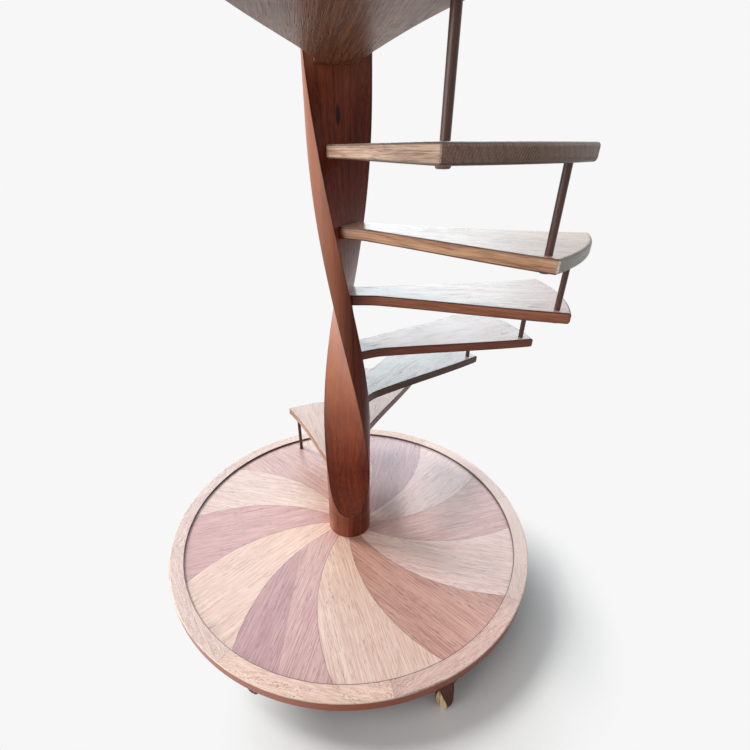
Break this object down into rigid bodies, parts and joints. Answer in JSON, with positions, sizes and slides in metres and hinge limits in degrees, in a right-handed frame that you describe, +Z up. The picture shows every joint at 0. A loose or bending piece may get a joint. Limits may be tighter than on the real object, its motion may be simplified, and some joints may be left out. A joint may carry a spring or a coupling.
{
  "type": "spiral staircase",
  "caption": "Free-standing wooden spiral stair: a twisted post carries wedge treads joined by thin rods, on a round inlaid base with carved feet.",
  "frame": {"origin": "on the axis of the post, at floor level under the base's feet", "axes": "+Z up along the post; +X to the right and -Y towards the front, the side over which the eighth tread reaches"},
  "size_m": [1.55, 1.55, 3.099],
  "materials": {
    "mahogany_post": "satin varnished mahogany",
    "oak_tread": "satin varnished oak",
    "dark_rod": "dark polished wood",
    "base_board": "plain board",
    "base_rim": "satin varnished oak",
    "light_inlay": "satin varnished pale wood",
    "dark_inlay": "satin varnished reddish wood",
    "carved_feet": "carved and waxed"
  },
  "bodies": {
    "root": {"post": "mahogany_post", "base_board": "base_board", "rim_length_1": "base_rim", "rim_length_2": "base_rim", "rim_length_3": "base_rim", "rim_length_4": "base_rim", "rim_length_5": "base_rim", "rim_length_6": "base_rim", "rim_length_7": "base_rim", "rim_length_8": "base_rim", "light_inlay_leaves": "light_inlay", "dark_inlay_leaves": "dark_inlay", "foot_rail_1": "carved_feet", "foot_rail_2": "carved_feet", "tread_01": "oak_tread", "rod_01": "dark_rod", "tread_02": "oak_tread", "rod_02": "dark_rod", "tread_03": "oak_tread", "rod_03": "dark_rod", "tread_04": "oak_tread", "rod_04": "dark_rod", "tread_05": "oak_tread", "rod_05": "dark_rod", "tread_06": "oak_tread", "rod_06": "dark_rod", "tread_07": "oak_tread", "rod_07": "dark_rod", "tread_08": "oak_tread", "rod_08": "dark_rod", "tread_09": "oak_tread", "rod_09": "dark_rod", "tread_10": "oak_tread", "rod_10": "dark_rod", "tread_11": "oak_tread", "rod_11": "dark_rod", "tread_12": "oak_tread", "rod_12": "dark_rod", "tread_13": "oak_tread", "rod_13": "dark_rod"}
  },
  "joints": []
}
